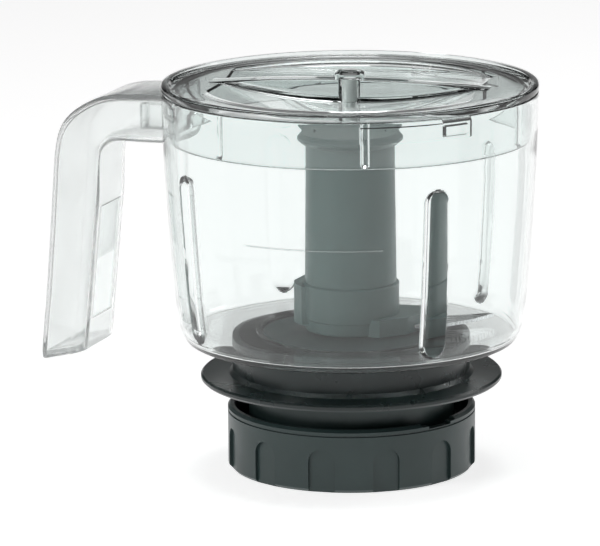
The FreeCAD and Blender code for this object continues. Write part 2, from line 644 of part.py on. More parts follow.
# ---------------------------------------------------------------- lid
lid_turn = turned("lid_turn", [
    (0.0, 162.6), (("skirt_radius", -2.2), 162.6), (("skirt_radius", -2.2), "skirt_bottom"),
    (("skirt_radius", -0.4), "skirt_bottom"), ("skirt_radius", ("skirt_bottom", 0.4)),
    ("skirt_radius", "lid_under"),
    (("lid_radius", -0.3), "lid_under"), ("lid_radius", ("lid_under", 0.3)), ("lid_radius", 165.4),
    (("lid_radius", -1.0), "lid_rim_top"), (76.6, "lid_rim_top"), (76.0, "lid_plate"), (0.0, "lid_plate")])
BAR_TURN = -11.0
BAR_HALF = SIZES["bar_width"] / 2.0


def scoop_profile(distance, half_width, low, side, top):
    """Upright section of a scoop: straight above, one arc below."""
    spin = Rotation(Vector(0, 0, 1), BAR_TURN + side)
    a = spin.multVec(Vector(-half_width, distance, 165.0))
    m = spin.multVec(Vector(0.0, distance, low))
    b = spin.multVec(Vector(half_width, distance, 165.0))
    c = spin.multVec(Vector(half_width, distance, top))
    d = spin.multVec(Vector(-half_width, distance, top))
    return Part.Wire([Part.Arc(a, m, b).toShape(), Part.LineSegment(b, c).toShape(),
                      Part.LineSegment(c, d).toShape(), Part.LineSegment(d, a).toShape()])


def scoop(name, side, grow):
    """Scoop on one side of the grip bar; grow thickens it all round for the wall under it."""
    near = scoop_profile(BAR_HALF - (2.0 if grow else 0.0), 55.0 + grow, 158.5 - grow, side, 175.0)
    far = scoop_profile(66.0, 60.0 + grow, 161.2 - grow, side, 175.0)
    block = solid_of(name + "_block", Part.makeLoft([near, far], True))
    limit = cylinder(name + "_limit", SIZES["scoop_radius"] + grow, 145.0, 165.0 if grow else 180.0)
    return common(name, [block, limit])


walls = [scoop("scoop_wall_%d" % k, 180.0 * k, 2.3) for k in range(2)]
rooms = [scoop("scoop_room_%d" % k, 180.0 * k, 0.0) for k in range(2)]


def bar_plate(name, half_width, half_length, low, crown):
    spin = Rotation(Vector(0, 0, 1), BAR_TURN)

    def place(u, z):
        return spin.multVec(Vector(u, -half_width, z))
    rim = Part.Wire([Part.Arc(place(-half_length, 165.1), place(0.0, crown),
                              place(half_length, 165.1)).toShape(),
                     Part.LineSegment(place(half_length, 165.1), place(half_length, 162.8)).toShape(),
                     Part.Arc(place(half_length, 162.8), place(0.0, low),
                              place(-half_length, 162.8)).toShape(),
                     Part.LineSegment(place(-half_length, 162.8), place(-half_length, 165.1)).toShape()])
    side = solid_of(name + "_side", rim)
    pad = doc.addObject("Part::Extrusion", name)
    pad.Base = side
    pad.Dir = spin.multVec(Vector(0, 1, 0))
    pad.LengthFwd = 2.0 * half_width
    pad.Solid = True
    doc.recompute()
    return pad


bar = bar_plate("bar", BAR_HALF, 56.0, 157.0, SIZES["bar_top"])
lid_lugs = [sector("lid_lug_%d" % k, 76.5, 78.5, 155.2, 159.6, a - 4.0, a + 4.0) for k, a in enumerate(LUGS)]
boss = turned("boss", [(0.0, 156.4), ("boss_radius", 156.4), ("boss_radius", ("boss_top", -1.6)),
                       (("boss_radius", -1.6), "boss_top"), (0.0, "boss_top")])
SKIRT_BEADS = [-85.3 + 62.0 * k for k in range(6)]
skirt_beads = [cylinder("skirt_bead_%d" % k, 1.6, 143.6, 162.8, spot(a, 74.3))
               for k, a in enumerate(SKIRT_BEADS)]
lid_blank = fuse("lid_blank", [lid_turn] + walls + skirt_beads)
lid_scooped = cut("lid_scooped", lid_blank, fuse("scoop_rooms", rooms))
lid_barred = fuse("lid_barred", [lid_scooped, bar, boss] + lid_lugs)
pin_bore = cylinder("pin_bore", ("pin_radius", 0.06), 150.0, 168.0)
lid = cut("lid", lid_barred, pin_bore)
node("lid", lid)

lid_pin = turned("lid_pin", [(0.0, 153.4), (2.4, 153.4), (2.4, 155.4), ("pin_radius", 155.4),
                             ("pin_radius", 167.6), (0.0, 167.6)])
node("lid_pin", lid_pin)

# ---------------------------------------------------------------- export
doc.recompute()
for name, obj in NODES.items():
    bad = [state for state in obj.State if state in ("Invalid", "Error")]
    if bad or obj.Shape.isNull() or not obj.Shape.isValid():
        raise RuntimeError("%s: %s valid=%s" % (name, obj.State, obj.Shape.isValid()))
    print("%-16s solids %d volume %.0f box z %.1f..%.1f" % (
        name, len(obj.Shape.Solids), obj.Shape.Volume, obj.Shape.BoundBox.ZMin, obj.Shape.BoundBox.ZMax))
    obj.Shape.exportStep("parts/%s.step" % name)
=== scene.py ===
import bmesh
import bpy
import json
import math
from mathutils import Matrix, Vector


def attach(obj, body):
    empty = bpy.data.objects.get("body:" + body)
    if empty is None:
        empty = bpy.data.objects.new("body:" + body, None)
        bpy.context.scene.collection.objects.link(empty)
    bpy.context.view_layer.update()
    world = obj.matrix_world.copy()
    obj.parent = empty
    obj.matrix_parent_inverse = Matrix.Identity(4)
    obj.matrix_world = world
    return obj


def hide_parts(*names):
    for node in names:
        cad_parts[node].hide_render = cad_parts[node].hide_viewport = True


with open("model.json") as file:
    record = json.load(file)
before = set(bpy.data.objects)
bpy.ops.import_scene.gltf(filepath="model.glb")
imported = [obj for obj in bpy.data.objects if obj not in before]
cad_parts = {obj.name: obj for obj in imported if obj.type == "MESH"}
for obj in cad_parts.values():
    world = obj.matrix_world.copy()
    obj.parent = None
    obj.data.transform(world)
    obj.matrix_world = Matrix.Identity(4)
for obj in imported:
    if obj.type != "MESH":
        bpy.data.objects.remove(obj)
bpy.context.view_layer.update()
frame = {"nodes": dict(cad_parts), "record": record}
NODES = frame["nodes"]
MM = 0.001


# ---------------------------------------------------------------- materials
NOISE_LOW, NOISE_HIGH = 0.3, 0.7        # the part of a noise texture's range that is used
MOTTLE_SCALE, WEAR_SCALE, WEAR_DETAIL = 60.0, 90.0, 6.0
GRAIN_STRENGTH, COAT_ROUGH = 0.15, 0.2
PLASTIC_IOR = 1.5
CLEAR_SHADOW = (0.93, 0.95, 0.945, 1.0)
FLOW_SCALE, FLOW_HEIGHT, FLOW_STRENGTH = 28.0, 0.00002, 0.25
BRUSH_SCALE, BRUSH_STRENGTH = 420.0, 0.4
SHARP_ANGLE = math.radians(32.0)


def new_material(name):
    mat = bpy.data.materials.new(name)
    mat.use_nodes = True
    tree = mat.node_tree
    tree.nodes.clear()
    out = tree.nodes.new("ShaderNodeOutputMaterial")
    shader = tree.nodes.new("ShaderNodeBsdfPrincipled")
    tree.links.new(shader.outputs[0], out.inputs["Surface"])
    return mat, tree, shader, out


def noise(tree, scale, detail=4.0, stretch=(1.0, 1.0, 1.0)):
    coords = tree.nodes.new("ShaderNodeTexCoord")
    mapping = tree.nodes.new("ShaderNodeMapping")
    mapping.inputs["Scale"].default_value = stretch
    tree.links.new(coords.outputs["Object"], mapping.inputs["Vector"])
    tex = tree.nodes.new("ShaderNodeTexNoise")
    tex.inputs["Scale"].default_value = scale
    tex.inputs["Detail"].default_value = detail
    tree.links.new(mapping.outputs["Vector"], tex.inputs["Vector"])
    return tex.outputs["Fac"]


def spread(tree, source, low, high):
    node = tree.nodes.new("ShaderNodeMapRange")
    node.inputs["From Min"].default_value = NOISE_LOW
    node.inputs["From Max"].default_value = NOISE_HIGH
    node.inputs["To Min"].default_value = low
    node.inputs["To Max"].default_value = high
    tree.links.new(source, node.inputs["Value"])
    return node.outputs["Result"]


def bump(tree, shader, source, height, strength):
    node = tree.nodes.new("ShaderNodeBump")
    node.inputs["Strength"].default_value = strength
    node.inputs["Distance"].default_value = height
    tree.links.new(source, node.inputs["Height"])
    tree.links.new(node.outputs["Normal"], shader.inputs["Normal"])


def ramp(tree, source, dark, light):
    node = tree.nodes.new("ShaderNodeValToRGB")
    node.color_ramp.elements[0].position = NOISE_LOW
    node.color_ramp.elements[0].color = (*dark, 1.0)
    node.color_ramp.elements[1].position = NOISE_HIGH
    node.color_ramp.elements[1].color = (*light, 1.0)
    tree.links.new(source, node.inputs["Fac"])
    return node.outputs["Color"]


def maths(tree, kind, first, second=None):
    node = tree.nodes.new("ShaderNodeMath")
    node.operation = kind
    for slot, item in enumerate((first, second)):
        if item is None:
            continue
        if isinstance(item, (int, float)):
            node.inputs[slot].default_value = item
        else:
            tree.links.new(item, node.inputs[slot])
    return node.outputs[0]


def moulded(name, dark, light, rough, grain=900.0, grain_height=0.00003, coat=0.0, wear=0.04):
    """Opaque moulded plastic or rubber: faint mottling, fine grain, rubbed patches."""
    mat, tree, shader, out = new_material(name)
    tree.links.new(ramp(tree, noise(tree, MOTTLE_SCALE), dark, light), shader.inputs["Base Color"])
    rubbed = spread(tree, noise(tree, WEAR_SCALE, WEAR_DETAIL), rough - wear, rough + wear)
    tree.links.new(rubbed, shader.inputs["Roughness"])
    bump(tree, shader, noise(tree, grain, 2.0), grain_height, GRAIN_STRENGTH)
    shader.inputs["Coat Weight"].default_value = coat
    shader.inputs["Coat Roughness"].default_value = COAT_ROUGH
    return mat


def clear(name, tint, rough=0.015, milky=0.0):
    """Clear moulded plastic that lets lamp light through to what stands behind it."""
    mat, tree, shader, out = new_material(name)
    shader.inputs["Base Color"].default_value = (*tint, 1.0)
    shader.inputs["Transmission Weight"].default_value = 1.0 - milky
    shader.inputs["IOR"].default_value = PLASTIC_IOR
    handled = spread(tree, noise(tree, 45.0, 5.0), rough * 0.5, rough * 1.6)
    tree.links.new(handled, shader.inputs["Roughness"])
    bump(tree, shader, noise(tree, FLOW_SCALE, 2.0), FLOW_HEIGHT, FLOW_STRENGTH)
    seen = tree.nodes.new("ShaderNodeBsdfTransparent")
    seen.inputs["Color"].default_value = CLEAR_SHADOW
    path = tree.nodes.new("ShaderNodeLightPath")
    mix = tree.nodes.new("ShaderNodeMixShader")
    tree.links.new(path.outputs["Is Shadow Ray"], mix.inputs[0])
    tree.links.new(shader.outputs[0], mix.inputs[1])
    tree.links.new(seen.outputs[0], mix.inputs[2])
    tree.links.new(mix.outputs[0], out.inputs["Surface"])
    return mat


def metal(name, dark, light, rough, stretch, scratch=0.00001):
    """Machined metal with fine lines along the direction that stretch leaves long."""
    mat, tree, shader, out = new_material(name)
    shader.inputs["Metallic"].default_value = 1.0
    lines = noise(tree, BRUSH_SCALE, 3.0, stretch)
    tree.links.new(ramp(tree, lines, dark, light), shader.inputs["Base Color"])
    uneven = spread(tree, noise(tree, 200.0, 4.0, stretch), rough * 0.7, rough * 1.4)
    tree.links.new(uneven, shader.inputs["Roughness"])
    bump(tree, shader, lines, scratch, BRUSH_STRENGTH)
    return mat


CLEAR = clear("clear_plastic", (0.945, 0.972, 0.966))
CLEAR_SOFT = clear("clear_plastic_handle", (0.975, 0.99, 0.986), 0.12, milky=0.10)
CLEAR_LID = clear("clear_plastic_lid", (0.855, 0.892, 0.885), 0.012)
WHITE = moulded("white_plastic", (0.80, 0.83, 0.82), (0.88, 0.90, 0.89), 0.22, coat=0.3)
DARK = moulded("dark_plastic", (0.020, 0.038, 0.037), (0.026, 0.047, 0.046), 0.36, 2400.0, 0.000008)
DARK_GLOSS = moulded("dark_plastic_gloss", (0.009, 0.016, 0.016), (0.013, 0.022, 0.022), 0.28,
                     2400.0, 0.000006, wear=0.015)
GREY = moulded("grey_plastic", (0.062, 0.108, 0.103), (0.070, 0.121, 0.115), 0.36, 2400.0, 0.000006)
RUBBER = moulded("seal_rubber", (0.03, 0.03, 0.03), (0.05, 0.05, 0.05), 0.7, 500.0)
COUPLER = moulded("coupling_rubber", (0.02, 0.02, 0.02), (0.035, 0.035, 0.035), 0.55, 600.0)
GEAR = moulded("gear_plastic", (0.62, 0.60, 0.52), (0.72, 0.70, 0.62), 0.42, 700.0)
STEEL = metal("steel", (0.62, 0.63, 0.64), (0.78, 0.79, 0.80), 0.32, (1.0, 1.0, 8.0))
BLADE = metal("blade_steel", (0.74, 0.75, 0.76), (0.88, 0.89, 0.90), 0.26, (1.0, 8.0, 1.0),
              0.000004)
BRONZE = metal("bronze", (0.40, 0.24, 0.10), (0.58, 0.37, 0.17), 0.38, (1.0, 1.0, 1.0), 0.00002)
BY_SLOT = {"clear_plastic": CLEAR, "white_plastic": WHITE, "dark_plastic": DARK, "grey_plastic": GREY,
           "seal_rubber": RUBBER, "coupling_rubber": COUPLER, "gear_plastic": GEAR, "steel": STEEL,
           "blade_steel": BLADE, "bronze": BRONZE}


def paint(obj, mat):
    obj.data.materials.clear()
    obj.data.materials.append(mat)
    for polygon in obj.data.polygons:
        polygon.use_smooth = True
        polygon.material_index = 0
    obj.data.set_sharp_from_angle(angle=SHARP_ANGLE)


SLOT_OF = {row["node"]: row["material_slot"] for row in frame["record"]["subparts"]}
for node_name, obj in NODES.items():
    paint(obj, BY_SLOT[SLOT_OF[node_name]])
paint(NODES["gear_housing"], DARK_GLOSS)


# ---------------------------------------------------------------- mesh helpers
def even_angles(count):
    return [2.0 * math.pi * i / count for i in range(count)]


def arc_points(cx, cy, radius, start, end, steps=4):
    turns = [math.radians(start + (end - start) * i / steps) for i in range(steps + 1)]
    return [(cx + radius * math.cos(a), cy + radius * math.sin(a)) for a in turns]


def filleted(corners, steps=4):
    """Open polyline of (x, y, radius) corners with each radius rounded off."""
    points = []
    for i, (x, y, radius) in enumerate(corners):
        here = Vector((x, y))
        if radius == 0.0 or i in (0, len(corners) - 1):
            points.append((x, y))
            continue
        back = (Vector(corners[i - 1][:2]) - here).normalized()
        on = (Vector(corners[i + 1][:2]) - here).normalized()
        half = back.angle(on) / 2.0
        reach = radius / math.tan(half)
        centre = here + (back + on).normalized() * (radius / math.sin(half))
        start, end = here + back * reach - centre, here + on * reach - centre
        sweep = start.angle_signed(end)
        for step in range(steps + 1):
            turned = start.copy()
            turned.rotate(Matrix.Rotation(-sweep * step / steps, 2))
            points.append(tuple(centre + turned))
    return points


def joined(name, base, tools, mat, body):
    """Base with each (operation, tool) applied, as one mesh."""
    for operation, tool in tools:
        change = base.modifiers.new(operation, "BOOLEAN")
        change.operation = operation
        change.solver = "EXACT"
        change.object = tool
    depsgraph = bpy.context.evaluated_depsgraph_get()
    mesh = bpy.data.meshes.new_from_object(base.evaluated_get(depsgraph))
    for old in [base] + [tool for operation, tool in tools]:
        bpy.data.objects.remove(old)
    piece = bpy.data.objects.new(name, mesh)
    bpy.context.scene.collection.objects.link(piece)
    paint(piece, mat)
    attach(piece, body)
    return piece


def loose(name, verts, faces):
    """Mesh object made from points in millimetres, with its faces turned outward."""
    mesh = bpy.data.meshes.new(name)
    mesh.from_pydata([tuple(c * MM for c in v) for v in verts], [], faces)
    mesh.validate()
    bm = bmesh.new()
    bm.from_mesh(mesh)
    bmesh.ops.recalc_face_normals(bm, faces=bm.faces)
    bm.to_mesh(mesh)
    bm.free()
    obj = bpy.data.objects.new(name, mesh)
    bpy.context.scene.collection.objects.link(obj)
    return obj


def spun(name, section, count=96):
    """Solid turned from an open (radius, height) section that starts and ends on the axis."""
    verts = [(0.0, 0.0, section[0][1])]
    inner = section[1:-1]
    for angle in even_angles(count):
        verts += [(r * math.cos(angle), r * math.sin(angle), z) for r, z in inner]
    verts.append((0.0, 0.0, section[-1][1]))
    rows, last = len(inner), len(verts) - 1
    faces = []
    for i in range(count):
        a, b = 1 + i * rows, 1 + (i + 1) % count * rows
        faces.append((0, b, a))
        faces.append((a + rows - 1, b + rows - 1, last))
        for k in range(rows - 1):
            faces.append((a + k, b + k, b + k + 1, a + k + 1))
    return loose(name, verts, faces)


# ---------------------------------------------------------------- lid
PLATE_TOP, PLATE_UNDER = 165.0, 162.6
SCOOP_RADIUS, LOFT_RADIUS, LID_RADIUS = 62.0, 66.0, 80.1
SKIRT_OUT, SKIRT_IN, SKIRT_END = 76.6, 74.4, 143.0
BAR_HALF, BAR_CROWN, BAR_REACH = 4.85, 167.6, 60.0
BAR_TURN = math.radians(-11.0)
SCOOP_WALL = 2.3
SCOOP_LENGTH, SCOOP_LENGTHENS = 55.0, 5.0           # beside the bar, and how much more at the rim
SCOOP_DEPTH, SCOOP_SHALLOWS = 6.5, 2.7
EDGE_ROUND, FOOT_ROUND, UNDER_FOOT_ROUND = 0.5, 1.0, 1.2
LEAST_HALF, STEP_SHARE, RIM_SHARE, FLOOR_SHARE = 0.35, 0.45, 0.4, 0.12
UPPER_STEPS, LOWER_STEPS = 12, 16
RIM_TOP, RIM_UNDER = 166.2, 163.1
LUG_ANGLES = [math.radians(a) for a in (-56.0, 64.0, 196.0)]
LUG_PROUD, LUG_LEVEL, LUG_HALF_HEIGHT, LUG_HALF_TURN = 1.9, 157.4, 1.9, math.radians(4.0)
BEAD_ANGLES = [math.radians(-85.3 + 62.0 * k) for k in range(6)]
BEAD_RADIUS, BEAD_LEVEL, BEAD_HALF_HEIGHT = 1.6, 155.0, 10.4
SKIRT_FOOT = 143.7                                  # beads start above the skirt's rounded end
LID_STATIONS = 360
BOSS_RADIUS, BOSS_LOW, BOSS_TOP = 6.35, 155.9, 171.2
BORE_RADIUS, BORE_TOP = 3.36, 168.0


def scoop_floor(u, v):
    """Height of the scoop's floor; longer and shallower away from the bar."""
    t = min(1.0, max(0.0, (v - BAR_HALF) / (SCOOP_RADIUS - BAR_HALF)))
    reach, sag = SCOOP_LENGTH + SCOOP_LENGTHENS * t, SCOOP_DEPTH - SCOOP_SHALLOWS * t
    return PLATE_TOP - sag * max(0.0, 1.0 - (u / reach) ** 2)


def bar_height(u):
    return PLATE_TOP + (BAR_CROWN - PLATE_TOP) * max(0.0, 1.0 - (u / BAR_REACH) ** 2)


def upper_half(u, limit):
    """Half section across the lid at u, from the bar's middle out to the loft's edge: (v, z)."""
    half = min(BAR_HALF, LEAST_HALF * limit)
    outline = math.sqrt(max(0.0, SCOOP_RADIUS ** 2 - u * u))
    outline = max(outline, half + LEAST_HALF * (limit - half))
    top = bar_height(u)
    low, far = scoop_floor(u, half), scoop_floor(u, outline)
    room = FLOOR_SHARE * (outline - half)
    edge = min(EDGE_ROUND, STEP_SHARE * (top - low), room)
    foot = min(FOOT_ROUND, STEP_SHARE * (top - low), room)
    far_foot = min(FOOT_ROUND, STEP_SHARE * (PLATE_TOP - far), room)
    far_edge = min(EDGE_ROUND, STEP_SHARE * (PLATE_TOP - far), RIM_SHARE * (limit - outline))
    points = [(0.0, top), (half * 0.5, top)]
    points += arc_points(half - edge, top - edge, edge, 90.0, 0.0)
    points += arc_points(half + foot, low + foot, foot, 180.0, 270.0)
    start, end = half + foot, outline - far_foot
    for i in range(1, UPPER_STEPS):
        v = start + (end - start) * i / UPPER_STEPS
        points.append((v, scoop_floor(u, v)))
    points += arc_points(outline - far_foot, far + far_foot, far_foot, 270.0, 360.0)
    points += arc_points(outline + far_edge, PLATE_TOP - far_edge, far_edge, 180.0, 90.0)
    points.append((limit, PLATE_TOP))
    return points


def lower_half(u, limit):
    """The same for the underside, a wall's thickness below."""
    half = min(BAR_HALF, LEAST_HALF * limit)
    outline = math.sqrt(max(0.0, (SCOOP_RADIUS + SCOOP_WALL) ** 2 - u * u))
    outline = min(max(outline, half + LEAST_HALF * (limit - half)), half + 0.9 * (limit - half))
    far = min(PLATE_UNDER, scoop_floor(u, outline) - SCOOP_WALL)
    foot = min(UNDER_FOOT_ROUND, STEP_SHARE * (PLATE_UNDER - far), FLOOR_SHARE * (outline - half))
    edge = min(EDGE_ROUND, STEP_SHARE * (PLATE_UNDER - far), RIM_SHARE * (limit - outline))
    points = []
    for i in range(LOWER_STEPS):
        v = (outline - foot) * i / (LOWER_STEPS - 1)
        points.append((v, min(PLATE_UNDER, scoop_floor(u, v) - SCOOP_WALL)))
    points += arc_points(outline - foot, far + foot, foot, 270.0, 360.0)
    points += arc_points(outline + edge, PLATE_UNDER - edge, edge, 180.0, 90.0)
    points.append((limit, PLATE_UNDER))
    return points


def turned_from(angle, middle):
    """Signed turn from middle to angle, between -180 and 180 degrees, in radians."""
    return (angle - middle + math.pi) % (2 * math.pi) - math.pi


def near(value, middle, half, ramp_width):
    """1 inside middle +- half, falling to 0 over ramp_width."""
    return min(1.0, max(0.0, (half + ramp_width - abs(value - middle)) / ramp_width))


def lid_rows():
    """Lid from the loft's edge out over the rim, down the skirt and back in: (radius, height)."""
    outer = filleted([(LOFT_RADIUS, PLATE_TOP, 0.0), (75.8, PLATE_TOP, 0.5), (76.8, RIM_TOP, 0.3),
                      (LID_RADIUS, RIM_TOP, 0.9), (LID_RADIUS, RIM_UNDER, 0.6),
                      (SKIRT_OUT, RIM_UNDER, 0.4), (SKIRT_OUT, 162.0, 0.0)])
    skirt = [(SKIRT_OUT, z) for z in (160.1, 159.7, 159.3, 157.4, 155.6, 155.2, 154.8, 150.0)]
    inner = filleted([(SKIRT_OUT, 145.0, 0.0), (SKIRT_OUT, SKIRT_END, 0.6), (SKIRT_IN, SKIRT_END, 0.6),
                      (SKIRT_IN, 144.6, 0.0), (SKIRT_IN, 145.0, 0.0), (SKIRT_IN, 153.0, 0.0),
                      (SKIRT_IN, 161.0, 0.0)])
    under = filleted([(SKIRT_IN, 161.2, 0.0), (SKIRT_IN, PLATE_UNDER, 0.7),
                      (LOFT_RADIUS, PLATE_UNDER, 0.0)])
    return outer + skirt + inner + under


def skirt_radius(r, z, angle):
    """Bayonet lugs stand out of the skirt and stiffening beads run up inside it."""
    if abs(r - SKIRT_OUT) < 0.01:
        lug = max(near(turned_from(angle, a), 0.0, LUG_HALF_TURN, 0.009) for a in LUG_ANGLES)
        return r + LUG_PROUD * lug * near(z, LUG_LEVEL, LUG_HALF_HEIGHT, 0.4)
    if abs(r - SKIRT_IN) < 0.01 and z > SKIRT_FOOT:
        away = min(abs(turned_from(angle, a)) for a in BEAD_ANGLES) * SKIRT_IN
        proud = math.sqrt(max(0.0, BEAD_RADIUS ** 2 - away ** 2))
        return r - proud * near(z, BEAD_LEVEL, BEAD_HALF_HEIGHT, 0.8)
    return r


def build_lid():
    """Plate lofted across the scoops and bar, ringed by rim and skirt, with a bored centre boss."""
    step = math.pi / LID_STATIONS
    verts, faces, loops = [], [], []
    for half_section, up in ((upper_half, True), (lower_half, False)):
        stations = []
        for k in range(1, LID_STATIONS):
            phi = -math.pi / 2.0 + k * step
            u, limit = LOFT_RADIUS * math.sin(phi), LOFT_RADIUS * math.cos(phi)
            half = half_section(u, limit)
            row = [(-v, z) for v, z in reversed(half[1:])] + half
            stations.append(list(range(len(verts), len(verts) + len(row))))
            verts += [(u, v, z) for v, z in row]
        level = PLATE_TOP if up else PLATE_UNDER
        ends = (len(verts), len(verts) + 1)
        verts += [(-LOFT_RADIUS, 0.0, level), (LOFT_RADIUS, 0.0, level)]
        for one, two in zip(stations, stations[1:]):
            for m in range(len(one) - 1):
                faces.append((one[m], two[m], two[m + 1], one[m + 1]))
        for m in range(len(stations[0]) - 1):
            faces.append((ends[0], stations[0][m], stations[0][m + 1]))
            faces.append((ends[1], stations[-1][m + 1], stations[-1][m]))
        loops.append([ends[0]] + [row[-1] for row in stations] + [ends[1]]
                     + [row[0] for row in reversed(stations)])
    angles = [math.atan2(verts[i][1], verts[i][0]) for i in loops[0]]
    rows = lid_rows()
    previous = loops[0]
    for r, z in rows[1:-1]:
        ring = []
        for angle in angles:
            wide = skirt_radius(r, z, angle + BAR_TURN)
            ring.append(len(verts))
            verts.append((wide * math.cos(angle), wide * math.sin(angle), z))
        for i in range(len(ring)):
            j = (i + 1) % len(ring)
            faces.append((previous[i], previous[j], ring[j], ring[i]))
        previous = ring
    for i in range(len(previous)):
        j = (i + 1) % len(previous)
        faces.append((previous[i], previous[j], loops[1][j], loops[1][i]))
    spin = Matrix.Rotation(BAR_TURN, 3, "Z")
    shell = loose("lid_shell", [spin @ Vector(v) for v in verts], faces)
    boss = spun("boss_blank", filleted([(0.0, BOSS_LOW, 0.0), (BOSS_RADIUS, BOSS_LOW, 0.6),
                                        (BOSS_RADIUS, 170.0, 1.0), (5.0, BOSS_TOP, 0.8),
                                        (0.0, BOSS_TOP, 0.0)]))
    bore = spun("bore_blank", filleted([(0.0, 150.0, 0.0), (BORE_RADIUS, 150.0, 0.0),
                                        (BORE_RADIUS, BORE_TOP, 0.4), (0.0, BORE_TOP, 0.0)]))
    lid = joined("lid_moulding", shell, [("UNION", boss), ("DIFFERENCE", bore)], CLEAR_LID, "lid_unit")
    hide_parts("lid")


build_lid()


# ---------------------------------------------------------------- bowl
BOWL_RIM, BOWL_TOP, BOWL_BOTTOM, BOWL_FLOOR = 80.0, 162.8, 56.0, 58.6
BOWL_WALL = 2.5
BOWL_BEADS = [math.radians(a) for a in (-62.0, 37.0, 115.0, 208.0)]
BEAD_LOW, BEAD_HIGH, BEAD_END = 67.0, 127.0, 6.0
# Section of a flow bead: steep from FLANK_START up to CREST, then straight down to SLOPE_END.
FLANK_START, CREST, SLOPE_END, BEAD_PROUD = -6.0, -2.2, 5.6, 5.0
BEAD_SPAN = 6.2
SLOT_RADIUS, SLOT_LOW, SLOT_TURN = 78.9, 154.2, 160.6
SLOT_DROP, SLOT_RUN = 5.2, 31.2                     # degrees either side of a lug, and along
RIM_INSIDE = 77.5
TONGUE_SIZE, TONGUE_OUT, TONGUE_LEVEL = (12.8, 18.0, 11.0), 85.4, 148.0
HANDLE_TURN = math.radians(161.0)
# Outside of the wall: (height, radius).
WALL_STATIONS = ((56.0, 71.4), (59.5, 73.2), (77.0, 75.4), (98.0, 77.0), (116.0, 78.2),
                 (136.0, 79.3), (150.0, 79.8), (162.8, 80.0))


def straight_wall(z):
    for (z0, r0), (z1, r1) in zip(WALL_STATIONS, WALL_STATIONS[1:]):
        if z <= z1:
            return r0 + (r1 - r0) * (z - z0) / (z1 - z0)
    return BOWL_RIM


def wall_radius(z):
    """Outside of the bowl's wall, its stations blended into one gentle curve."""
    return sum(straight_wall(z + shift) for shift in range(-5, 6)) / 11.0


def bead_height(across, z):
    """Flow bead on the inside of the wall: steep on one flank, a long straight slope on the other."""
    past = max(0.0, BEAD_LOW - z, z - BEAD_HIGH)
    if past >= BEAD_END:
        return 0.0
    width = math.sqrt(1.0 - (past / BEAD_END) ** 2)
    x = across / width
    if x <= FLANK_START or x >= SLOPE_END:
        return 0.0
    if x < CREST:
        rise = 1.0 - ((CREST - x) / (CREST - FLANK_START)) ** 2
        return BEAD_PROUD * width * math.sqrt(max(0.0, rise))
    return BEAD_PROUD * width * (SLOPE_END - x) / (SLOPE_END - CREST)


def bowl_inside(r, z, angle):
    """Bayonet slots cut into the rim's inside, and flow beads standing out from the wall."""
    if z > 150.0:
        for lug in LUG_ANGLES:
            away = math.degrees(turned_from(angle, lug))
            down = -SLOT_DROP < away < SLOT_DROP and z > SLOT_LOW - 0.05
            along = -SLOT_RUN < away < SLOT_DROP and SLOT_LOW - 0.05 < z < SLOT_TURN + 0.05
            if down or along:
                return max(r, SLOT_RADIUS)
        return r
    if 60.5 < z < 134.0:
        for bead in BOWL_BEADS:
            away = turned_from(angle, bead) * r
            if abs(away) < BEAD_SPAN:
                return r - bead_height(away, z)
    return r


def bowl_angles():
    """Every 0.75 degrees, closer across the beads and at the sides of the bayonet slots."""
    bead_middles = [math.degrees(a) % 360.0 for a in BOWL_BEADS]
    marks = [0.75 * i for i in range(480)]
    marks = [m for m in marks
             if all(abs((m - b + 180.0) % 360.0 - 180.0) > 5.3 for b in bead_middles)]
    for middle in bead_middles:
        marks += [(middle - 5.2 + 0.2 * i) % 360.0 for i in range(53)]
    for lug in LUG_ANGLES:
        middle = math.degrees(lug)
        marks += [(middle + edge) % 360.0 for edge in (-31.3, -31.1, -5.3, -5.1, 5.1, 5.3)]
    return [math.radians(m) for m in sorted(set(marks))]


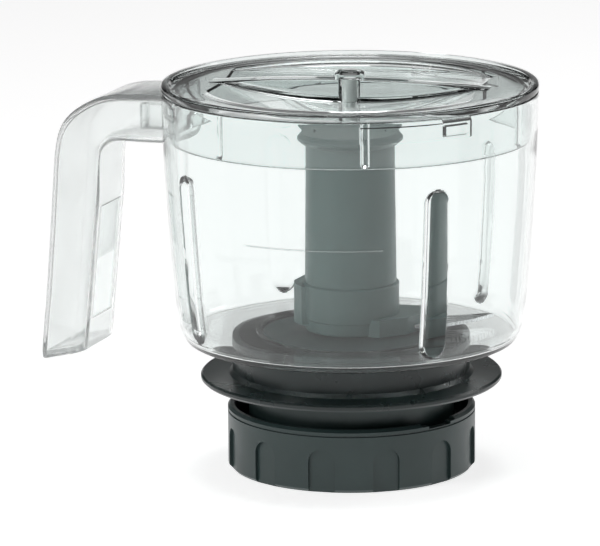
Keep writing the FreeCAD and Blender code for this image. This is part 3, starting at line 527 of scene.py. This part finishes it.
def build_bowl():
    """Bowl turned as one closed section, with its inside shaped by bowl_inside."""
    outside = filleted([(34.2, 57.0, 0.0), (34.2, BOWL_BOTTOM, 0.3), (70.6, BOWL_BOTTOM, 1.6),
                        (wall_radius(60.5), 60.5, 2.4), (wall_radius(66.0), 66.0, 0.0)], 6)
    levels = (70, 76, 84, 92, 100, 108, 116, 124, 132, 140, 146, 152, 158)
    rise = [(wall_radius(z), z) for z in levels]
    rim = filleted([(BOWL_RIM, 160.0, 0.0), (BOWL_RIM, BOWL_TOP, 0.5), (RIM_INSIDE, BOWL_TOP, 0.4),
                    (RIM_INSIDE, 162.0, 0.0)])
    inside = [(RIM_INSIDE, z) for z in (160.9, 160.6, 157.5, 154.2, 153.9, 150.0, 146.0)]
    # Levels close together round the beads' ends, wide apart between them.
    steps = [134.0 - 0.6 * i for i in range(13)] + [126.0 - 3.7 * i for i in range(16)]
    steps += [67.2 - 0.6 * i for i in range(1, 12)]
    inside += [(wall_radius(z) - BOWL_WALL, z) for z in [140.0] + steps]
    foot = filleted([(wall_radius(60.0) - BOWL_WALL, 60.5, 0.0), (69.4, BOWL_FLOOR, 1.4),
                     (40.6, BOWL_FLOOR, 0.2), (40.3, 59.2, 0.15), (39.7, 59.2, 0.15),
                     (39.4, BOWL_FLOOR, 0.2), (37.7, BOWL_FLOOR, 0.2), (37.7, 57.0, 0.1),
                     (34.2, 57.0, 0.0)], 4)[:-1]
    section = outside + rise + rim + inside + foot
    split = len(outside) + len(rise) + len(rim)
    verts, faces = [], []
    angles = bowl_angles()
    rows = len(section)
    for angle in angles:
        for k, (r, z) in enumerate(section):
            if k >= split:
                r = bowl_inside(r, z, angle)
            verts.append((r * math.cos(angle), r * math.sin(angle), z))
    for i in range(len(angles)):
        j = (i + 1) % len(angles)
        for k in range(rows):
            m = (k + 1) % rows
            faces.append((i * rows + k, j * rows + k, j * rows + m, i * rows + m))
    shell = loose("bowl_shell", verts, faces)
    bowl = joined("bowl_moulding", shell, [("UNION", tongue_blank())], CLEAR, "bowl_unit")
    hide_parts("bowl")


def tongue_blank():
    """Block that the handle's hollow arm slides over."""
    bm = bmesh.new()
    bmesh.ops.create_cube(bm, size=1.0)
    bmesh.ops.scale(bm, vec=Vector(TONGUE_SIZE) * MM, verts=bm.verts)
    bmesh.ops.bevel(bm, geom=bm.edges[:], offset=0.6 * MM, segments=2, affect="EDGES", profile=0.5)
    mesh = bpy.data.meshes.new("tongue_blank")
    bm.to_mesh(mesh)
    bm.free()
    turn = Matrix.Rotation(HANDLE_TURN, 4, "Z")
    mesh.transform(turn @ Matrix.Translation(Vector((TONGUE_OUT, 0.0, TONGUE_LEVEL)) * MM))
    obj = bpy.data.objects.new("tongue_blank", mesh)
    bpy.context.scene.collection.objects.link(obj)
    return obj


# ---------------------------------------------------------------- handle
HANDLE_HALF, HANDLE_WALL = 20.0, 2.4
PALM_ROUND, FINGER_ROUND = 2.8, 6.5
LEAST_PALM_ROUND, LEAST_FINGER_ROUND = 0.8, 1.0
ROOT_RADIUS, ROOT_LIFT = 80.2, 0.2                  # where the arm meets the bowl's rim
OUTER_SHUT = ((0.25, 0.6), (0.9, 0.95), (2.0, 1.0)) # rings that close the end: (shrink, drop)
INNER_SHUT = ((0.3, 0.3), (1.0, 0.5))
# Opening behind the cover strip, (out, height), and half its width.
WINDOW, WINDOW_HALF = ((106.0, 108.0), (111.9, 108.0), (117.1, 58.0), (110.0, 58.0)), 11.2
# Finger side and palm side of the handle, pair by pair, from the bowl out and down: (out, height).
HANDLE_PAIRS = (((86.0, 137.6), (86.0, 159.1)), ((93.0, 137.6), (93.0, 158.8)),
                ((99.0, 137.7), (100.5, 158.3)), ((103.4, 137.0), (108.0, 156.5)),
                ((106.5, 134.8), (115.2, 153.0)), ((108.2, 131.8), (121.2, 148.5)),
                ((108.8, 127.5), (125.5, 142.5)), ((109.0, 121.0), (128.0, 133.0)),
                ((109.4, 110.0), (129.6, 115.0)), ((110.8, 96.0), (131.1, 96.0)),
                ((113.4, 70.0), (133.3, 70.0)), ((115.4, 50.5), (135.6, 47.0)),
                ((116.2, 45.4), (135.8, 41.0)))


def smooth_between(rows, steps):
    """Catmull-Rom curve through rows of numbers."""
    result = []
    for i in range(len(rows) - 1):
        a = rows[max(0, i - 1)]
        b, c = rows[i], rows[i + 1]
        d = rows[min(len(rows) - 1, i + 2)]
        for step in range(steps):
            t = step / steps
            result.append([0.5 * (2 * q + (r - p) * t + (2 * p - 5 * q + 4 * r - s) * t * t
                                  + (3 * q - p - 3 * r + s) * t ** 3)
                           for p, q, r, s in zip(a, b, c, d)])
    result.append(list(rows[-1]))
    return result


def rounded_loop(half_thick, half_wide, palm_round, finger_round, steps=8):
    """Rounded rectangle, (across the thickness, across the width), with the palm side first."""
    loop = []
    for sx, sy, start in ((1, 1, 0.0), (-1, 1, 90.0), (-1, -1, 180.0), (1, -1, 270.0)):
        radius = palm_round if sx > 0 else finger_round
        loop += arc_points(sx * (half_thick - radius), sy * (half_wide - radius), radius,
                           start, start + 90.0, steps)
    return loop


def handle_skin(inset, shut):
    """Rings of points of the handle's skin, inset from the outside; shut gives the end's rounding."""
    rings = []
    for row in smooth_between([a + b for a, b in HANDLE_PAIRS], 8):
        finger, palm = Vector(row[:2]), Vector(row[2:])
        across = palm - finger
        rings.append(((finger + palm) / 2.0, across.normalized(), across.length / 2.0 - inset, 0.0))
    middle, across, half, whole = rings[-1]
    down = Vector((across.y, -across.x))
    if down.y > 0.0:
        down = -down
    end = middle - down * inset
    rings[-1] = (end, across, half, whole)
    rings += [(end + down * drop, across, half, shrink) for shrink, drop in shut]
    skin = []
    for middle, across, half, shrink in rings:
        loop = rounded_loop(half - shrink, HANDLE_HALF - inset - shrink,
                            max(LEAST_PALM_ROUND, PALM_ROUND - inset - shrink),
                            max(LEAST_FINGER_ROUND, FINGER_ROUND - inset - shrink))
        skin.append([(middle.x + across.x * t, w, middle.y + across.y * t) for t, w in loop])
    return skin


def build_handle():
    """Hollow handle, open to the bowl's rim, with the window that the cover strip closes."""
    outer = handle_skin(0.0, OUTER_SHUT)
    inner = handle_skin(HANDLE_WALL, INNER_SHUT)
    for skin in (outer, inner):
        skin.insert(0, [(math.sqrt(ROOT_RADIUS ** 2 - w * w), w, z + ROOT_LIFT) for d, w, z in skin[0]])
    verts, faces = [], []
    count = len(outer[0])
    starts = []
    for skin in (outer, inner):
        starts.append(len(verts))
        for ring in skin:
            verts += ring
        for k in range(len(skin) - 1):
            for i in range(count):
                j = (i + 1) % count
                a = starts[-1] + k * count
                faces.append((a + i, a + j, a + count + j, a + count + i))
        last = starts[-1] + (len(skin) - 1) * count
        faces.append(tuple(last + i for i in range(count)))
    for i in range(count):
        j = (i + 1) % count
        faces.append((starts[0] + i, starts[0] + j, starts[1] + j, starts[1] + i))
    turn = Matrix.Rotation(HANDLE_TURN, 3, "Z")
    shell = loose("handle_shell", [turn @ Vector(v) for v in verts], faces)
    corners = [turn @ Vector((d, side * WINDOW_HALF, z)) for side in (-1, 1) for d, z in WINDOW]
    room = loose("handle_window", corners, [(0, 1, 2, 3), (4, 5, 6, 7), (0, 1, 5, 4), (1, 2, 6, 5),
                                            (2, 3, 7, 6), (3, 0, 4, 7)])
    handle = joined("handle_moulding", shell, [("DIFFERENCE", room)], CLEAR_SOFT, "bowl_unit")
    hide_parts("handle")


LINE_LEVEL, LINE_STEPS = 109.0, 60
LINE_START, LINE_END = math.radians(-125.5), math.radians(-80.0)
LINE_PROUD, LINE_SUNK, LINE_HALF, LINE_FOOT = 0.12, 0.10, 0.14, 0.28


def build_fill_line():
    """Faint level line moulded on the inside of the front wall."""
    wall = wall_radius(LINE_LEVEL) - BOWL_WALL
    verts, faces = [], []
    for i in range(LINE_STEPS + 1):
        angle = LINE_START + (LINE_END - LINE_START) * i / LINE_STEPS
        swell = LINE_PROUD * math.sin(math.pi * i / LINE_STEPS) ** 0.25
        for out, up in ((LINE_SUNK, -LINE_FOOT), (-swell, -LINE_HALF), (-swell, LINE_HALF),
                        (LINE_SUNK, LINE_FOOT)):
            r = wall + out
            verts.append((r * math.cos(angle), r * math.sin(angle), LINE_LEVEL + up))
    for i in range(LINE_STEPS):
        for k in range(4):
            m = (k + 1) % 4
            faces.append((i * 4 + k, i * 4 + m, i * 4 + 4 + m, i * 4 + 4 + k))
    faces += [(0, 1, 2, 3), tuple(LINE_STEPS * 4 + k for k in (3, 2, 1, 0))]
    line = loose("fill_line", verts, faces)
    paint(line, CLEAR)
    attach(line, "bowl_unit")


build_bowl()
build_handle()
build_fill_line()


# ---------------------------------------------------------------- floor, light, camera
FLOOR_RADIUS, FLOOR_GLOW = 9.0, 0.76
FLAGS_AROUND = 8.0
FLAG_LEVEL, HORIZON_LEVEL, CEILING_LEVEL, SEEN_LEVEL = 0.04, 1.0, 0.05, 1.1
SECTOR_FROM, SECTOR_TO = -0.70, -0.40
HORIZON_END, CEILING_START = 0.02, 0.24             # height of the view direction
CAMERA_PLACE, CAMERA_LENS = (0.0, -1.9907, 0.5211), 286.4
CAMERA_YAW, CAMERA_PITCH, CAMERA_ROLL = (math.radians(a) for a in (-0.624, 12.40, -0.44))


def build_floor():
    """Wide round sheet of pale paper that glows a little."""
    rim = [(FLOOR_RADIUS * math.cos(a), FLOOR_RADIUS * math.sin(a), 0.0) for a in even_angles(96)]
    mesh = bpy.data.meshes.new("floor")
    mesh.from_pydata(rim, [], [tuple(range(96))])
    floor = bpy.data.objects.new("floor", mesh)
    bpy.context.scene.collection.objects.link(floor)
    mat, tree, shader, out = new_material("paper")
    shader.inputs["Base Color"].default_value = (0.78, 0.775, 0.775, 1.0)
    shader.inputs["Roughness"].default_value = 0.9
    shader.inputs["Specular IOR Level"].default_value = 0.0
    shader.inputs["Emission Color"].default_value = (1, 1, 1, 1)
    shader.inputs["Emission Strength"].default_value = FLOOR_GLOW
    mesh.materials.append(mat)


def lamp(name, place, aim, size, power):
    data = bpy.data.lights.new(name, "AREA")
    data.shape = "RECTANGLE"
    data.size, data.size_y = size
    data.energy = power
    obj = bpy.data.objects.new(name, data)
    bpy.context.scene.collection.objects.link(obj)
    obj.location = place
    obj.rotation_euler = (Vector(aim) - Vector(place)).to_track_quat("-Z", "Y").to_euler()


def build_world():
    """White near the horizon with narrow dark flags between, dark overhead; plain white to the camera."""
    world = bpy.data.worlds.new("studio")
    bpy.context.scene.world = world
    world.use_nodes = True
    tree = world.node_tree
    back = tree.nodes["Background"]
    coords = tree.nodes.new("ShaderNodeTexCoord")
    split = tree.nodes.new("ShaderNodeSeparateXYZ")
    tree.links.new(coords.outputs["Generated"], split.inputs[0])

    around = maths(tree, "ARCTAN2", split.outputs["Y"], split.outputs["X"])
    # Peaks at the eight main views; the flags stand in the troughs between.
    wave = maths(tree, "COSINE", maths(tree, "MULTIPLY", around, FLAGS_AROUND))
    flags = tree.nodes.new("ShaderNodeMapRange")
    flags.inputs["From Min"].default_value = SECTOR_FROM
    flags.inputs["From Max"].default_value = SECTOR_TO
    flags.inputs["To Min"].default_value = FLAG_LEVEL
    flags.inputs["To Max"].default_value = 1.0
    tree.links.new(wave, flags.inputs["Value"])
    height = tree.nodes.new("ShaderNodeMapRange")
    height.interpolation_type = "SMOOTHSTEP"
    height.inputs["From Min"].default_value = HORIZON_END
    height.inputs["From Max"].default_value = CEILING_START
    height.inputs["To Min"].default_value = HORIZON_LEVEL
    height.inputs["To Max"].default_value = CEILING_LEVEL
    tree.links.new(split.outputs["Z"], height.inputs["Value"])
    level = maths(tree, "MULTIPLY", flags.outputs["Result"], height.outputs["Result"])
    path = tree.nodes.new("ShaderNodeLightPath")
    mix = tree.nodes.new("ShaderNodeMix")
    mix.data_type = "FLOAT"
    tree.links.new(path.outputs["Is Camera Ray"], mix.inputs[0])
    tree.links.new(level, mix.inputs[2])
    mix.inputs[3].default_value = SEEN_LEVEL
    tree.links.new(mix.outputs[0], back.inputs["Strength"])
    back.inputs["Color"].default_value = (1.0, 1.0, 1.0, 1.0)


def build_camera():
    data = bpy.data.cameras.new("camera")
    data.sensor_width = 36.0
    data.lens = CAMERA_LENS
    data.clip_end = 50.0
    cam = bpy.data.objects.new("camera", data)
    bpy.context.scene.collection.objects.link(cam)
    yaw, pitch, roll = CAMERA_YAW, CAMERA_PITCH, CAMERA_ROLL
    level = math.cos(pitch)
    forward = Vector((math.sin(yaw) * level, math.cos(yaw) * level, -math.sin(pitch)))
    side = Vector((math.cos(yaw), -math.sin(yaw), 0.0))
    up = side.cross(forward)
    right = side * math.cos(roll) + up * math.sin(roll)
    above = up * math.cos(roll) - side * math.sin(roll)
    turn = Matrix((right, above, -forward)).transposed()
    cam.matrix_world = Matrix.Translation(CAMERA_PLACE) @ turn.to_4x4()
    bpy.context.scene.camera = cam


build_floor()
build_world()
build_camera()
lamp("key", (-1.5, -0.9, 0.9), (0, 0, 0.10), (0.6, 0.9), 9.0)
lamp("rim", (1.3, 0.7, 0.9), (0, 0, 0.10), (0.5, 0.9), 3.5)
lamp("top", (0.1, 0.5, 1.6), (0, 0, 0.16), (0.5, 0.5), 5.0)
bpy.context.scene.view_settings.view_transform = "Standard"
